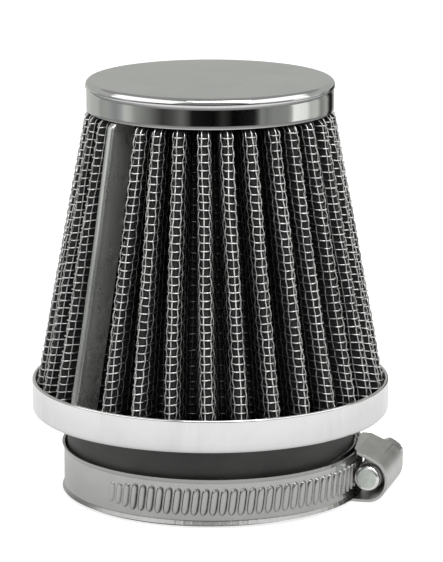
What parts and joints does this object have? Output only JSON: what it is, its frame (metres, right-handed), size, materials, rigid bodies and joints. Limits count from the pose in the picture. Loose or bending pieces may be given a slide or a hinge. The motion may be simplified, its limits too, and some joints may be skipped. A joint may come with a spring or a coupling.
{
  "type": "air filter",
  "caption": "Clamp-on cone air filter: pleated woven-wire element between a round chrome cap and base ring, on a rubber neck with a worm-drive clamp.",
  "frame": {"origin": "centre of the neck's bore, in the neck's open bottom face", "axes": "+Z along the filter's axis from the neck to the cap, -Y the front, +X the side where the clamp's screw sits"},
  "size_m": [0.0901, 0.0858, 0.0993],
  "materials": {
    "chrome": "bright chrome plate on pressed steel",
    "steel_mesh": "woven galvanised wire, satin bright",
    "inner_mesh": "fine woven wire, dull",
    "medium": "dark fibrous filter medium",
    "seam_steel": "bright folded sheet steel with crimp marks",
    "potting": "black potting compound",
    "rubber": "moulded black rubber, fine matt texture",
    "clamp_steel": "zinc-plated band steel, satin",
    "housing_steel": "zinc-plated pressed steel, dull",
    "screw_steel": "zinc-plated screw, satin with bright edges"
  },
  "bodies": {
    "filter": {"rubber_neck": "rubber", "base_ring": "chrome", "base_potting": "potting", "outer_mesh": "steel_mesh", "filter_media": "medium", "inner_mesh": "inner_mesh", "seam_clip": "seam_steel", "cap_potting": "potting", "top_cap": "chrome"},
    "clamp": {"clamp_housing": "housing_steel", "clamp_band_anchor": "clamp_steel"},
    "band": {"clamp_band_strip": "clamp_steel"},
    "screw": {"worm_screw": "screw_steel"}
  },
  "joints": [
    {"name": "clamp_turn", "type": "hinge", "parent": "filter", "child": "clamp", "pos_m": [0, 0, 0.00625], "axis": [0, 0, 1], "continuous": true},
    {"name": "screw_turn", "type": "hinge", "parent": "clamp", "child": "screw", "pos_m": [0.03824, -0.01046, 0.0059], "axis": [-0.2639, -0.9646, 0], "range_deg": [-720, 1080]},
    {"name": "band_travel", "type": "hinge", "parent": "clamp", "child": "band", "pos_m": [0, 0, 0.00625], "axis": [0, 0, 1], "range_deg": [-7.1, 10.6]}
  ],
  "couplings": [
    {"joint": "band_travel", "follows": "screw_turn", "ratio": 0.0096801}
  ]
}
